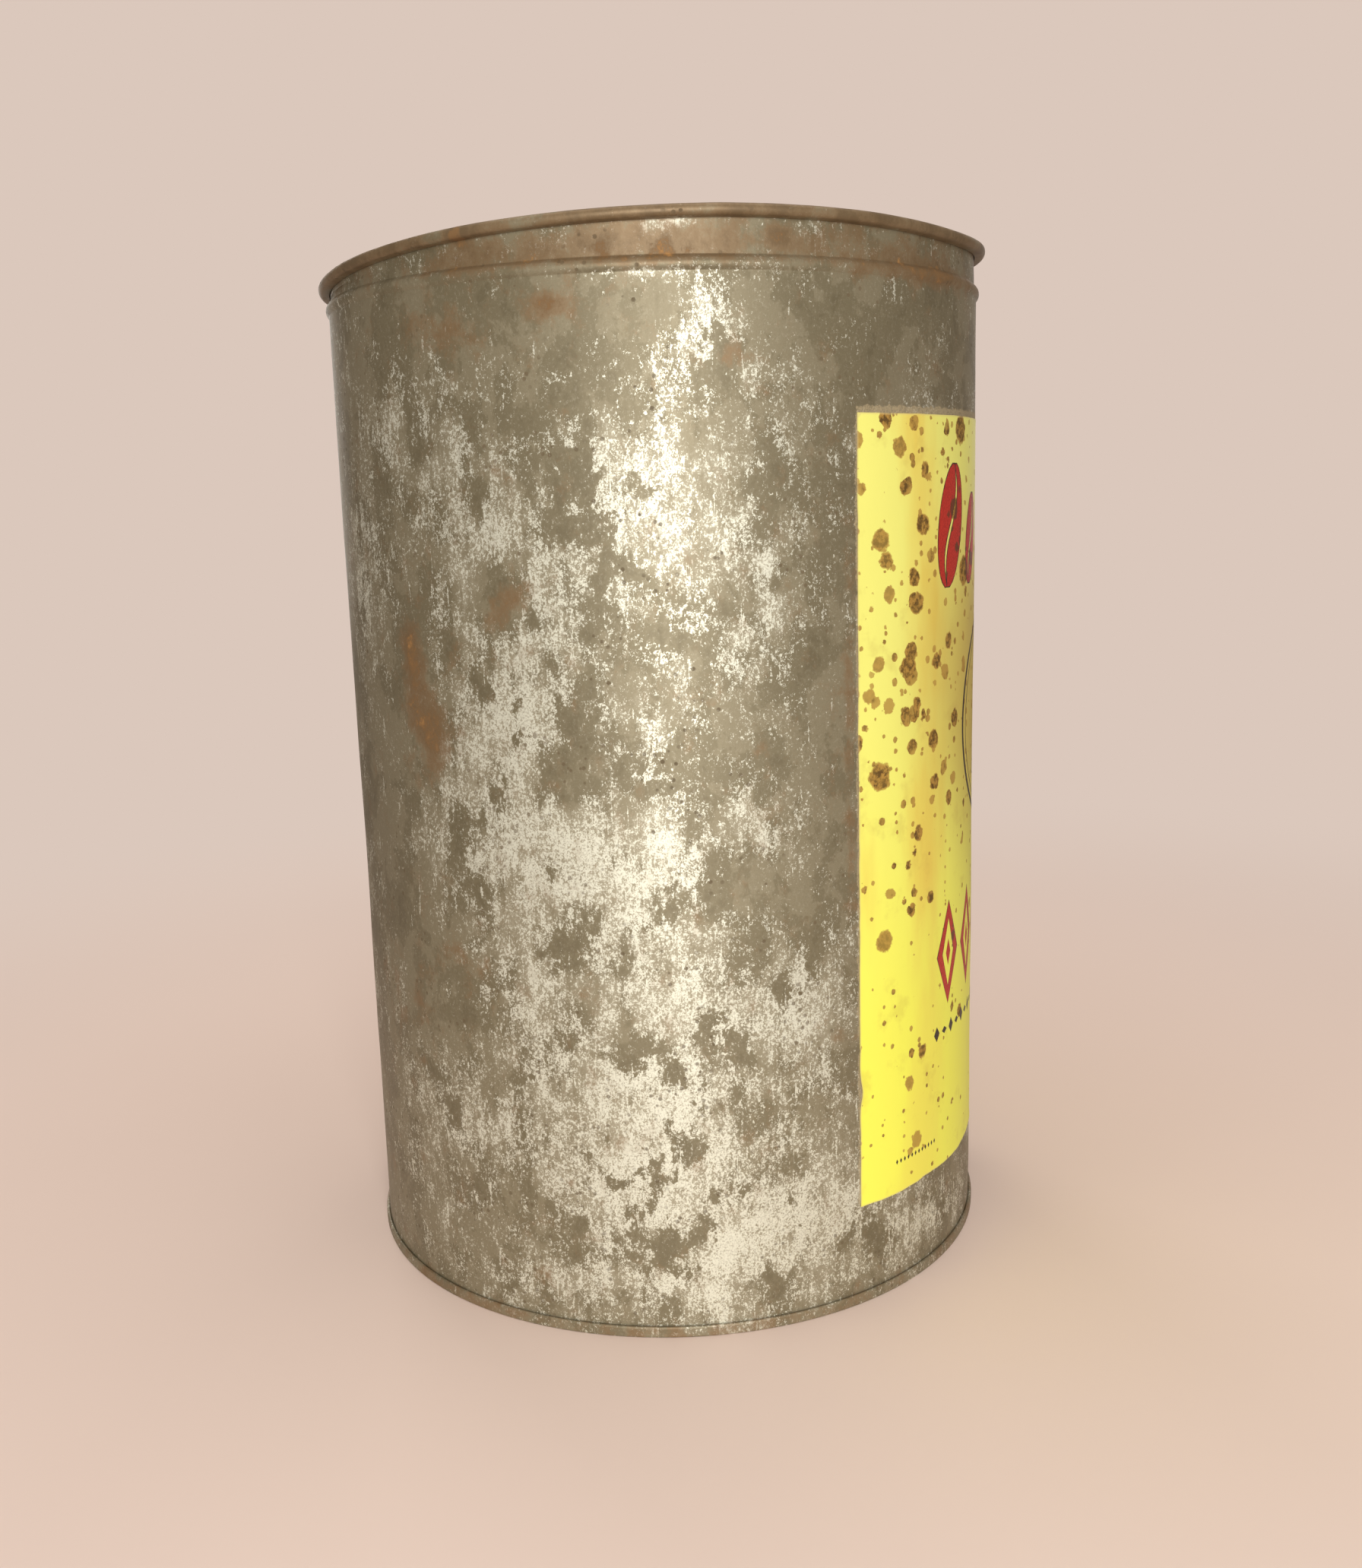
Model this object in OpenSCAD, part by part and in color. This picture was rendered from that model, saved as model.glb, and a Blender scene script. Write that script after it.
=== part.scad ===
// Lever-lid coffee tin: a soldered tinplate body with a rolled rim, a seamed base and ring,
// and a paper label. Millimetres. Z is up, the origin is at the centre of the base, and the
// label faces -Y. Every pressed sheet is a path of corners, [radius, height, bend radius],
// spun about Z at the sheet's thickness.

/* [Sheet] */
// Thickness of the tinplate
plate_t = 0.3; // [0.26:0.01:0.34]
// Gap between two layers of sheet in a seam
seam_gap = 0.05; // [0.03:0.01:0.08]
// Thickness of the sealing compound in a seam
compound_t = 0.15; // [0.1:0.01:0.2]

/* [Body] */
// Outer diameter of the body wall
body_d = 190; // [170:1:230]
// Overall height, from the foot to the top of the rim
tin_h = 293; // [150:1:340]
// How far the neck stands inside the body wall
neck_in = 0.6; // [0.3:0.1:0.8]
// Distance from the top of the bead to the top of the rim
neck_h = 11.5; // [8:0.5:16]
// Height of the rolled bead under the neck
bead_h = 3.6; // [3.6:0.1:6]
// How far the bead stands out of the body wall
bead_out = 1.3; // [0.8:0.1:1.4]

/* [Side seam] */
// Width of the folded seam inside the wall
fold_w = 4.5; // [3:0.1:6]
// Width of the solder line outside
solder_w = 0.8; // [0.5:0.1:1.5]
// Depth of the groove that the solder fills
groove_d = 0.12; // [0.08:0.01:0.16]

/* [Base] */
// Height of the double seam
seam_h = 3.1; // [2.9:0.1:3.6]
// Depth of the base's edge above the foot
base_drop = 4.6; // [4:0.1:7]
// Radii of the pressed steps in the base
base_steps = [36, 56, 76];

/* [Ring] */
// How far the rolled rim stands out of the body wall
rim_out = 2.6; // [2.3:0.1:3]
// Height of the roll
roll_h = 2.8; // [2.8:0.1:3.2]
// Gap between the free edge of the roll and the neck
roll_gap = 0.7; // [0.5:0.1:0.9]
// Depth of the ring's deck below the top of the rim
deck_drop = 5.5; // [5:0.1:8]
// Diameter of the mouth
mouth_d = 154; // [140:1:160]
// Depth of the mouth's wall below the deck
throat_h = 11; // [9:0.5:16]

/* [Lid] */
// Gap between the lid's plug and the mouth
lid_gap = 0.05; // [0.03:0.01:0.09]
// How far the lid's edge covers the deck
lid_cover = 5; // [4:0.1:6]
// Height of the lid's curled edge
lid_curl_h = 2.35; // [2.2:0.05:2.8]
// Depth of the lid's channel below its edge
lid_depth = 11.7; // [9:0.1:13]
// Radii of the pressed steps in the lid
lid_steps = [30, 50, 66];

/* [Label] */
// Part of the turn that the label covers
label_angle = 108; // [60:1:160]
// Height of the label
label_h = 216; // [80:1:230]
// Height of the label's lower edge
label_z = 28.5; // [10:0.5:40]
// Thickness of the paper
label_t = 0.1; // [0.08:0.01:0.2]

/* [Hidden] */
$fn = 96;

half_t = plate_t / 2;
layer = plate_t + seam_gap;
body_r = body_d / 2;
seam_side = 90;        // direction of the side seam, at the back
label_side = -90;      // direction of the middle of the label
label_lift = 0.02;     // paste under the label
solder_proud = 0.03;   // height of the solder line above the wall
fold_layers = 4;       // sheets that lie on each other in the folded seam
seam_margin = 1;       // gap from the solder line to the base seam and to the bead
fold_margin = 6;       // gap from the folded seam to the bead

// Bends, as radii of the middle of the sheet
bend_step = 15;        // degrees of each flat on a bend
bend_spare = 0.02;     // straight left between the two bends of a turn
tight_bend = 0.5;      // corners of the neck and of the rim's inner wall
deck_bend = 0.8;       // foot of a recessed panel's wall
bead_foot_bend = 0.9;
mouth_bend = 1.2;      // top of the mouth's wall
lid_top_bend = 1.1;    // top of the lid's plug
channel_bend = 1.5;    // foot of the lid's plug
step_w = 2.4;          // width of a pressed step
step_h = 0.8;          // height of a pressed step
step_bend = 3;

// Radii of the middle of the sheet through the base seam, from the inside out
wall_c = body_r - half_t;
chuck_c = wall_c - layer;
cover_hook_c = wall_c + layer;
body_hook_c = wall_c + 2 * layer;
seam_wall_c = wall_c + 3 * layer;
hook_bend = layer - bend_spare / 2;
foot_bend = 0.28;      // outer bends of the foot, small so that it stands on a flat ring
hook_clear = 0.3;      // space past the tip of each hook
hook_foot_z = plate_t + compound_t + half_t;

// The bead and the neck
bead_top = tin_h - neck_h;
bead_z = bead_top - bead_h / 2;
bead_bend = 1.8;
neck_c = wall_c - neck_in;

// The roll: the ring's edge wraps the body's flange
rim_r = body_r + rim_out;
roll_c = rim_r - half_t;
roll_bend = half_turn(roll_h - plate_t);
rim_top_c = tin_h - half_t;
roll_foot_c = tin_h - roll_h + half_t;
flange_c = rim_top_c - plate_t - compound_t;
flange_foot_c = roll_foot_c + plate_t + 2 * seam_gap;
flange_edge_c = roll_c - plate_t - 2 * seam_gap;
flange_bend = half_turn(flange_c - flange_foot_c);
flange_lip = 1;        // flat edge of the flange inside the roll
ring_wall_c = neck_c - layer;
deck_c = tin_h - deck_drop;
throat_c = mouth_d / 2 + half_t;
throat_foot_c = deck_c - throat_h;
throat_curl = 1.9;     // width of the curl at the foot of the mouth
throat_lip = 2.1;      // height of the curl's free edge
throat_bend = half_turn(throat_curl);

// The lid
plug_c = mouth_d / 2 - lid_gap - half_t;
lid_edge_c = mouth_d / 2 + lid_cover;
lid_foot_c = deck_c + plate_t + seam_gap;
lid_top_c = lid_foot_c + lid_curl_h - plate_t;
lid_channel_c = lid_top_c - lid_depth;
lid_bend = half_turn(lid_top_c - lid_foot_c);
lid_lip = 2;           // width of the lid's edge that lies on the deck

// The bend radius of each corner of a U-turn as wide as span
function half_turn(span) = span / 2 - bend_spare;

function unit(v) = v / norm(v);
function flat(p) = [p[0], p[1]];
function sweep(a, b) = let (d = b - a) d > 180 ? d - 360 : d < -180 ? d + 360 : d;

// One corner q between p and s, as the points of its bend
function bend(p, q, s) =
    let (
        u = unit(flat(p) - flat(q)),
        v = unit(flat(s) - flat(q)),
        half = acos(u * v) / 2,
        middle = flat(q) + unit(u + v) * q[2] / sin(half),
        first = flat(q) + u * q[2] / tan(half) - middle,
        last = flat(q) + v * q[2] / tan(half) - middle,
        start = atan2(first[1], first[0]),
        turn = sweep(start, atan2(last[1], last[0])),
        steps = ceil(abs(turn) / bend_step)
    )
    [for (i = [0 : steps]) middle + q[2] * [cos(start + turn * i / steps), sin(start + turn * i / steps)]];

// A path of corners as the points of the sheet's middle
function rounded(path) = [
    flat(path[0]),
    for (i = [1 : len(path) - 2]) each bend(path[i - 1], path[i], path[i + 1]),
    flat(path[len(path) - 1])
];

// The point that lies d to the left of the path at its point i
function beside(points, i, d) =
    let (
        a = points[max(i - 1, 0)],
        b = points[i],
        c = points[min(i + 1, len(points) - 1)],
        before = i == 0 ? unit(c - b) : unit(b - a),
        after = i == len(points) - 1 ? before : unit(c - b),
        across = unit([-before[1] - after[1], before[0] + after[0]])
    )
    b + across * d / (across * [-after[1], after[0]]);

function outline(points) = [
    for (i = [0 : len(points) - 1]) beside(points, i, half_t),
    for (i = [len(points) - 1 : -1 : 0]) beside(points, i, -half_t)
];

// Corners of a panel that steps down from the centre, which is at height z, at each radius
function stepped(z, radii) = [
    for (i = [0 : len(radii) - 1]) each [
        [radii[i], z - i * step_h, step_bend],
        [radii[i] + step_w, z - (i + 1) * step_h, step_bend]
    ]
];

module pressed(path) {
    rotate_extrude() polygon(outline(rounded(path)));
}

// An annular piece of the tin from radius r0 to r1 and height z0 to z1
module band(r0, r1, z0, z1, angle = 360, centre = 0) {
    rotate([0, 0, centre - angle / 2])
        rotate_extrude(angle = angle)
            translate([r0, z0]) square([r1 - r0, z1 - z0]);
}

function degrees_of(width) = width / body_r * 180 / PI;

module body_wall() {
    apex = bead_out + bead_bend * (1 / cos(atan(2 * bead_out / bead_h)) - 1);
    pressed([
        [body_hook_c, seam_h - plate_t - hook_clear],
        [body_hook_c, hook_foot_z, hook_bend],
        [wall_c, hook_foot_z, hook_bend],
        [wall_c, bead_z - bead_h / 2, bead_foot_bend],
        [wall_c + apex, bead_z, bead_bend],
        [neck_c, bead_z + bead_h / 2, tight_bend],
        [neck_c, flange_c, tight_bend],
        [flange_edge_c, flange_c, flange_bend],
        [flange_edge_c, flange_foot_c, flange_bend],
        [flange_edge_c - flange_lip, flange_foot_c]
    ]);
}

// The solder line, from the depth of its groove out to radius r1
module solder_line(r1) {
    band(body_r - groove_d, r1, seam_h + seam_margin, bead_top - bead_h - seam_margin,
         degrees_of(solder_w), seam_side);
}

// The sheet's two edges lock together in a flat fold inside the wall, at the back
module body_shell() {
    color([0.56, 0.53, 0.43])
        difference() {
            union() {
                body_wall();
                band(body_r - fold_layers * plate_t, body_r - half_t, base_drop + seam_h,
                     bead_top - bead_h - fold_margin, degrees_of(fold_w), seam_side);
            }
            solder_line(body_r + plate_t);
        }
}

module side_seam_solder() {
    color([0.66, 0.65, 0.6]) solder_line(body_r + solder_proud);
}

module bottom_end() {
    panel_z = base_drop + len(base_steps) * step_h;
    color([0.5, 0.46, 0.37])
        pressed(concat(
            [[0, panel_z]],
            stepped(panel_z, base_steps),
            [
                [chuck_c, base_drop, deck_bend],
                [chuck_c, half_t, foot_bend],
                [seam_wall_c, half_t, foot_bend],
                [seam_wall_c, seam_h - half_t, hook_bend],
                [cover_hook_c, seam_h - half_t, hook_bend],
                [cover_hook_c, hook_foot_z + half_t + hook_clear]
            ]
        ));
}

module bottom_seam_compound() {
    color([0.25, 0.22, 0.18])
        band(wall_c, body_hook_c, plate_t, plate_t + compound_t);
}

module top_ring() {
    color([0.47, 0.37, 0.27])
        pressed([
            [neck_c + half_t + roll_gap, roll_foot_c],
            [roll_c, roll_foot_c, roll_bend],
            [roll_c, rim_top_c, roll_bend],
            [ring_wall_c, rim_top_c, tight_bend],
            [ring_wall_c, deck_c, deck_bend],
            [throat_c, deck_c, mouth_bend],
            [throat_c, throat_foot_c, throat_bend],
            [throat_c + throat_curl, throat_foot_c, throat_bend],
            [throat_c + throat_curl, throat_foot_c + throat_lip]
        ]);
}

module top_seam_compound() {
    color([0.25, 0.22, 0.18])
        band(neck_c + tight_bend, roll_c - roll_bend, flange_c + half_t, flange_c + half_t + compound_t);
}

module lever_lid() {
    panel_c = lid_channel_c + len(lid_steps) * step_h;
    color([0.6, 0.57, 0.48])
        pressed(concat(
            [[0, panel_c]],
            stepped(panel_c, lid_steps),
            [
                [plug_c, lid_channel_c, channel_bend],
                [plug_c, lid_top_c, lid_top_bend],
                [lid_edge_c, lid_top_c, lid_bend],
                [lid_edge_c, lid_foot_c, lid_bend],
                [lid_edge_c - lid_lip, lid_foot_c]
            ]
        ));
}

module paper_label() {
    color([0.96, 0.87, 0.25])
        band(body_r + label_lift, body_r + label_lift + label_t, label_z, label_z + label_h,
             label_angle, label_side);
}

body_shell();
side_seam_solder();
bottom_end();
bottom_seam_compound();
top_ring();
top_seam_compound();
lever_lid();
paper_label();
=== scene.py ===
"""The looks of an old lever-lid coffee tin: aged tinplate, a bent rim and a foxed paper label.

Metres, in the frame of the CAD model. A point of the tin is given by its turn, in degrees from
the middle of the label (-Y) towards +X, and by its height. The photograph looks along PHOTO_TURN.
"""

import functools
import math
import random

import bmesh
import bpy
from mathutils import Matrix, Vector, noise


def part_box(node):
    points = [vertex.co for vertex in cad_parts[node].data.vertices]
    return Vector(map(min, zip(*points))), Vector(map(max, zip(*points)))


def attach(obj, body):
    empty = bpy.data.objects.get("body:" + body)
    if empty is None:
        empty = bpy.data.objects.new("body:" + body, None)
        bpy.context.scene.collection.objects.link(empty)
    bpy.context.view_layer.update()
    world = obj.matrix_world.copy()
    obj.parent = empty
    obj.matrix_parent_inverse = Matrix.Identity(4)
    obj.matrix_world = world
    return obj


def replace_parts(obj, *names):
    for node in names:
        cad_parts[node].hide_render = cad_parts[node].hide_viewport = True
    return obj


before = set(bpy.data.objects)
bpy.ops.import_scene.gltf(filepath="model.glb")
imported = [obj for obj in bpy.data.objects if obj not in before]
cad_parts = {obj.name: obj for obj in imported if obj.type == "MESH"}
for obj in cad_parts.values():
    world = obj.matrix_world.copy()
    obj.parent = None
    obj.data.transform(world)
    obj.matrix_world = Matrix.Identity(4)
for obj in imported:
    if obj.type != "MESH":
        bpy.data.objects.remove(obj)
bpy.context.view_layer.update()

MM = 0.001

# ---------------------------------------------------------------- driving sizes
PLATE = 0.3 * MM              # thickness of the tinplate
SEAM_GAP = 0.05 * MM          # gap between the layers of a seam
COMPOUND = 0.15 * MM          # thickness of the sealing compound
PAPER = 0.1 * MM              # thickness of the label
PASTE = 0.02 * MM             # thickness of the paste behind it

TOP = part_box("top_ring")[1].z
RIM_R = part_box("top_ring")[1].x
MOUTH_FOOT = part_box("top_ring")[0].z
LABEL_LOW, LABEL_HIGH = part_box("paper_label")
WALL_R = -LABEL_LOW.y - PAPER - PASTE
LABEL_HALF = math.degrees(math.asin(LABEL_HIGH.x / (WALL_R + PASTE + PAPER)))
LID_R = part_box("lever_lid")[1].x
SEAM_TOP = 3.1 * MM           # height of the double seam at the foot
NECK_IN = 0.6 * MM            # how far the neck stands in from the wall
BEAD_H = 3.6 * MM
BEAD_OUT = 1.3 * MM           # how far the bead stands out from the wall
BEAD_TOP = TOP - 11.5 * MM
ROLL_H = 2.8 * MM             # height of the rolled rim
DECK_DROP = 5.5 * MM          # from the top of the rim down to the ring's deck
THROAT_R = 77 * MM            # radius of the mouth
THROAT_H = 11 * MM            # height of the mouth's collar
SEAM_TURN = 180.0             # the side seam is at the back
FOLD_HALF = 1.36              # half the width of the side seam's fold, in degrees
FOLD_IN = 0.9 * MM            # how far the fold stands inside the wall
FOLD_FOOT = 7.7 * MM
FOLD_HEAD = BEAD_TOP - BEAD_H - 6 * MM

BEND_STEP = 15                # degrees between the points of a bend
SHARP_ANGLE = 40              # an edge that bends more than this is drawn sharp

PHOTO_TURN = -86.0            # the turn that the photograph looks at


# ---------------------------------------------------------------- pressed sheet
def arc(before, corner, after):
    """The points of the bend at a corner, (radius, height, bend radius), as seen in the section."""
    p, q, s = Vector(before[:2]), Vector(corner[:2]), Vector(after[:2])
    u, v = (p - q).normalized(), (s - q).normalized()
    half = u.angle(v) / 2
    middle = q + (u + v).normalized() * (corner[2] / math.sin(half))
    first = q + u * (corner[2] / math.tan(half)) - middle
    last = q + v * (corner[2] / math.tan(half)) - middle
    start = math.atan2(first.y, first.x)
    sweep = (math.atan2(last.y, last.x) - start + math.pi) % math.tau - math.pi
    count = max(2, math.ceil(abs(math.degrees(sweep)) / BEND_STEP))
    angles = [start + sweep * i / count for i in range(count + 1)]
    return [middle + Vector((math.cos(a), math.sin(a))) * corner[2] for a in angles]


def rounded(path):
    """The line through path, with each of its inner corners bent."""
    points = [Vector(path[0][:2])]
    for i in range(1, len(path) - 1):
        points += arc(path[i - 1], path[i], path[i + 1])
    return points + [Vector(path[-1][:2])]


def divided(points, longest):
    """The same line with no stretch longer than longest, so that a dent can bend it."""
    out = [points[0]]
    for a, b in zip(points, points[1:]):
        count = max(1, math.ceil((b - a).length / longest))
        out += [a.lerp(b, i / count) for i in range(1, count + 1)]
    return out


def outline(points, thickness):
    """The closed outline of a sheet whose middle follows points."""
    left, right = [], []
    for i, b in enumerate(points):
        a, c = points[max(i - 1, 0)], points[min(i + 1, len(points) - 1)]
        before = (b - a).normalized() if i else (c - b).normalized()
        after = (c - b).normalized() if i < len(points) - 1 else before
        across = Vector((-before.y - after.y, before.x + after.x)).normalized()
        across *= thickness / 2 / across.dot(Vector((-after.y, after.x)))
        left.append(b + across)
        right.append(b - across)
    return left + right[::-1]


def place(turn, radius, height):
    """The point at this turn, distance from the axis and height."""
    a = math.radians(turn)
    return Vector((radius * math.sin(a), -radius * math.cos(a), height))


def all_turns():
    """The turns that a spun piece has a section at: one in each degree, and more at the seam."""
    turns = [-float(i) for i in range(176, -177, -1)] + [177 + 0.16 * i for i in range(38)]
    return [wrapped(turn) for turn in turns]


def spun(name, section, warp, marks=None):
    """A piece whose section goes all the way round. warp(turn, r, z) gives the dented (r, z)."""
    bm = bmesh.new()
    layers = {mark: bm.verts.layers.float.new(mark) for mark in (marks or {})}
    rings = []
    for turn in all_turns():
        ring = []
        for p in section:
            z = round(p.y, 6)
            vertex = bm.verts.new(place(turn, *warp(turn, max(p.x, 0.0), z)))
            for mark, value in (marks or {}).items():
                vertex[layers[mark]] = value(turn, z)
            ring.append(vertex)
        rings.append(ring)
    for a, b in zip(rings, rings[1:] + rings[:1]):
        for j in range(len(section)):
            k = (j + 1) % len(section)
            bm.faces.new((a[j], b[j], b[k], a[k]))
    bmesh.ops.remove_doubles(bm, verts=bm.verts, dist=0.002 * MM)
    bmesh.ops.dissolve_degenerate(bm, edges=bm.edges, dist=0.001 * MM)
    bmesh.ops.recalc_face_normals(bm, faces=bm.faces)
    return finished(name, bm)


def finished(name, bm):
    """The object that bm becomes, smooth apart from its sharp edges."""
    mesh = bpy.data.meshes.new(name)
    bm.to_mesh(mesh)
    bm.free()
    mesh.shade_smooth()
    mesh.set_sharp_from_angle(angle=math.radians(SHARP_ANGLE))
    piece = bpy.data.objects.new(name, mesh)
    bpy.context.scene.collection.objects.link(piece)
    return piece


# ---------------------------------------------------------------- dents and wear
def wrapped(degrees):
    """The same angle, from -180 to 180."""
    return (degrees + 180.0) % 360.0 - 180.0


def smooth(x):
    """A soft step from 0 to 1 while x goes from 0 to 1."""
    x = min(max(x, 0.0), 1.0)
    return x * x * (3 - 2 * x)


def spot(turn, z, at):
    """1 at the middle of the spot (turn, height, half width in degrees, half height in mm)."""
    dx = wrapped(turn - at[0]) / at[2]
    dz = (z / MM - at[1]) / at[3]
    return math.exp(-(dx * dx + dz * dz))


def seen(bearing):
    """The turn of a point that the photograph shows this many degrees right of its middle."""
    return PHOTO_TURN + bearing


# (turn, height in mm, half width in degrees, half height in mm, depth in mm)
DENTS = [
    (seen(-42), 243, 5, 9, 0.5), (seen(-6), 247, 7, 4, 0.25), (seen(-13), 157, 4, 6, 0.25),
    (seen(12), 127, 9, 8, 0.2), (seen(-60), 150, 14, 30, 0.35), (seen(20), 96, 10, 14, 0.25),
    (38, 60, 12, 10, 0.3), (80, 210, 16, 22, 0.9), (112, 95, 12, 16, 0.8), (152, 232, 9, 12, 1.1),
    (-150, 120, 14, 26, 0.7), (128, 262, 12, 9, 0.9), (64, 22, 9, 7, 0.6), (-128, 30, 10, 8, 0.5),
]


def ripple(turn, z, size, seed):
    """Soft noise from -1 to 1 over the wall, with bumps of about this size."""
    return noise.noise(place(turn, WALL_R, z) / size + Vector((seed, 2.7 * seed, 0)))


@functools.lru_cache(None)
def wall_dent(turn, z):
    """How far the wall stands in or out at a point. It stays true at each seam and at the bead."""
    held = smooth((z - SEAM_TOP) / (14 * MM)) * smooth((BEAD_TOP - BEAD_H - z) / (12 * MM))
    held *= smooth(abs(wrapped(turn - SEAM_TURN)) / 8 - 0.2)
    wave = 0.22 * ripple(turn, z, 55 * MM, 1) + 0.07 * ripple(turn, z, 16 * MM, 4)
    return held * (wave - sum(d[4] * spot(turn, z, d) for d in DENTS)) * MM


def bend(away, width, depth):
    """The depth of a smooth bend, this many degrees from its middle."""
    return depth * math.exp(-(away / width) ** 2 / 2)


@functools.lru_cache(None)
def rim_drop(turn):
    """How far the rim is bent down: most behind the left of the photograph, by the side seam."""
    large = max(0.0, bend(wrapped(turn - SEAM_TURN), 46, 7.2) - 0.55)
    small = bend(turn + 30, 14, 1.2) + bend(turn - 70, 22, 0.6)
    wave = 0.08 * (1 + ripple(turn, TOP, 30 * MM, 9)) + 0.05 * (1 + ripple(turn, TOP, 7 * MM, 3))
    return (large + small + wave) * MM


def neck_share(r, z):
    """How much of the rim's drop reaches a point: all at the rim, none at the bead or the lid."""
    up = smooth((z - BEAD_TOP - 0.5 * MM) / (TOP - ROLL_H - BEAD_TOP))
    out = smooth((r - LID_R - 1.5 * MM) / (WALL_R - LID_R - 4 * MM))
    return up * out


BUCKLE = 0.07                 # how far the neck bends in, as a share of the rim's drop
SHRINK = 0.14 * MM            # how far the rim is drawn in


def warped(turn, r, z):
    """Where a point of the tin's sheets really is, as (radius, height)."""
    if r < WALL_R - 2 * MM and z < MOUTH_FOOT:
        return r, z
    share = neck_share(r, z)
    outer = smooth((r - WALL_R + 2 * MM) / MM)
    buckle = BUCKLE * rim_drop(turn) * math.sin(math.pi * share) * outer
    shrink = SHRINK * (1 + ripple(turn, z, 22 * MM, 6)) * outer
    dent = wall_dent(turn, z) if r > WALL_R - 3 * MM and z < BEAD_TOP else 0.0
    return r + dent - buckle - shrink * share, z - rim_drop(turn) * share


def folded(turn, r, z):
    """As warped, with the side seam's fold inside the wall."""
    r_now, z_now = warped(turn, r, z)
    inside = r < WALL_R - 0.9 * PLATE and FOLD_FOOT < z < FOLD_HEAD
    if inside and abs(wrapped(turn - SEAM_TURN)) < FOLD_HALF:
        r_now -= FOLD_IN
    return r_now, z_now


# (turn, height in mm, half width in degrees, half height in mm, strength)
SHINE = [
    (seen(-2), 215, 15, 75, 0.3), (seen(-4), 105, 20, 70, 0.3), (seen(-1), 40, 22, 34, 0.34),
    (seen(8), 267, 4.5, 8, 0.6), (seen(-10), 236, 9, 12, 0.22), (seen(0), 226, 6, 22, 0.1),
    (seen(-17), 208, 8, 14, 0.16), (seen(-18), 184, 8, 18, 0.24), (seen(-25), 166, 6, 20, 0.34),
    (seen(4), 182, 7, 14, 0.08), (seen(-5), 132, 13, 11, 0.34), (seen(-20), 138, 7, 14, 0.22),
    (seen(-26), 96, 8, 34, 0.26), (seen(3), 90, 10, 16, 0.16), (seen(18), 94, 8, 15, 0.36),
    (seen(24), 84, 5, 20, 0.24), (seen(-11), 46, 8, 14, 0.22), (seen(24), 32, 14, 12, 0.36),
    (seen(11), 26, 8, 10, 0.24), (seen(42), 16, 20, 9, 0.34), (seen(-35), 146, 7, 26, 0.24),
    (seen(-38), 236, 12, 26, 0.12), (seen(-28), 222, 8, 20, 0.22), (seen(-42), 58, 12, 20, 0.24),
    (seen(-62), 205, 7, 34, 0.34), (seen(20), 212, 12, 40, 0.16), (seen(13), 146, 9, 16, 0.24),
    (seen(-44), 24, 24, 16, 0.1), (seen(-20), 12, 30, 8, 0.16), (seen(-46), 132, 7, 16, 0.18),
    (seen(-7), 248, 6, 4, -0.4), (seen(13), 127, 7, 6, -0.5), (seen(22), 116, 5, 8, -0.36),
    (seen(27), 168, 5, 60, -0.2), (seen(-15), 156, 4, 6, -0.6), (seen(-48), 178, 8, 34, -0.2),
    (seen(-6), 84, 4, 5, -0.5), (seen(-54), 100, 12, 26, -0.2), (seen(-32), 274, 24, 9, -0.2),
    (seen(34), 268, 20, 16, -0.2), (seen(-25), 201, 4, 9, -0.6), (seen(-2), 190, 4, 20, -0.22),
    (seen(-30), 34, 6, 12, -0.16), (seen(-21), 150, 2, 8, -0.3), (seen(9), 160, 6, 8, -0.2),
    # the thin bands at seen(4), 289.8 mm just under the roll and at seen(-3), 277.6 mm on the
    # bead's lower side are painted highlights
    (seen(-1), 287, 1.1, 2.2, 0.55), (seen(4), 289.8, 12, 0.6, 0.4), (seen(-3), 277.6, 9, 1.0, 0.5),
    (seen(-25), 276, 3, 2.5, 0.5), (seen(-8), 270, 14, 8, -0.45), (seen(35), 283, 3, 2, 0.3),
    (seen(-25), 150, 8, 110, 0.12), (seen(8), 170, 6, 90, -0.14), (seen(2), 284.5, 12, 4, -0.35),
    (seen(1), 216, 7, 16, 0.14), (seen(-6), 60, 12, 50, 0.1), (seen(-40), 271, 10, 12, -0.3),
    (seen(-2), 267, 4, 9, -0.35), (seen(19), 254, 11, 10, 0.14),
    (SEAM_TURN, 150, 1.6, 200, 0.16),
]

RUST = [
    (seen(-45), 182, 3, 13, 0.75), (seen(-41), 164, 5, 10, 0.66), (seen(-15), 271, 3.5, 3.5, 0.8),
    (seen(-38), 103, 5, 7, 0.3), (seen(12), 258, 6, 2.5, 0.4), (seen(-23), 203, 2.5, 6, 0.42),
    (seen(-26), 196, 2.5, 4, 0.38), (seen(-24), 15, 2, 4, 0.45), (seen(-14), 28, 3, 2, 0.3),
    (seen(30.4), 165, 1.2, 50, 0.4), (seen(-29.5), 291, 1.3, 2.6, 0.9),
    (seen(-56), 84, 9, 16, 0.22), (seen(-35), 266, 8, 7, 0.34), (seen(-6), 165, 2, 5, 0.22),
    (seen(53), 279.5, 22, 3, 0.62), (seen(20), 285, 30, 5, 0.2), (seen(-14), 284, 16, 5, 0.18),
    (seen(2), 284, 12, 4, 0.2), (seen(-14), 281, 22, 1.2, 0.14), (seen(-7), 283, 1.6, 2.4, 0.3),
    (seen(-13), 283, 1.2, 1.8, 0.3), (seen(-28), 285, 3, 5, 0.3), (seen(19), 286, 1.6, 2, 0.4),
    (seen(-9), 285.5, 2, 2, 0.35),
]


def back_spots(seed, count, low, high, widest, tallest):
    """Spots of wear on the side that the photograph doesn't show."""
    rng = random.Random(seed)
    spots = []
    for _ in range(count):
        turn = wrapped(seen(rng.uniform(95, 265)))
        size = (rng.uniform(4, widest), rng.uniform(6, tallest))
        spots.append((turn, rng.uniform(12, 275), *size, rng.uniform(low, high)))
    return spots


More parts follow.
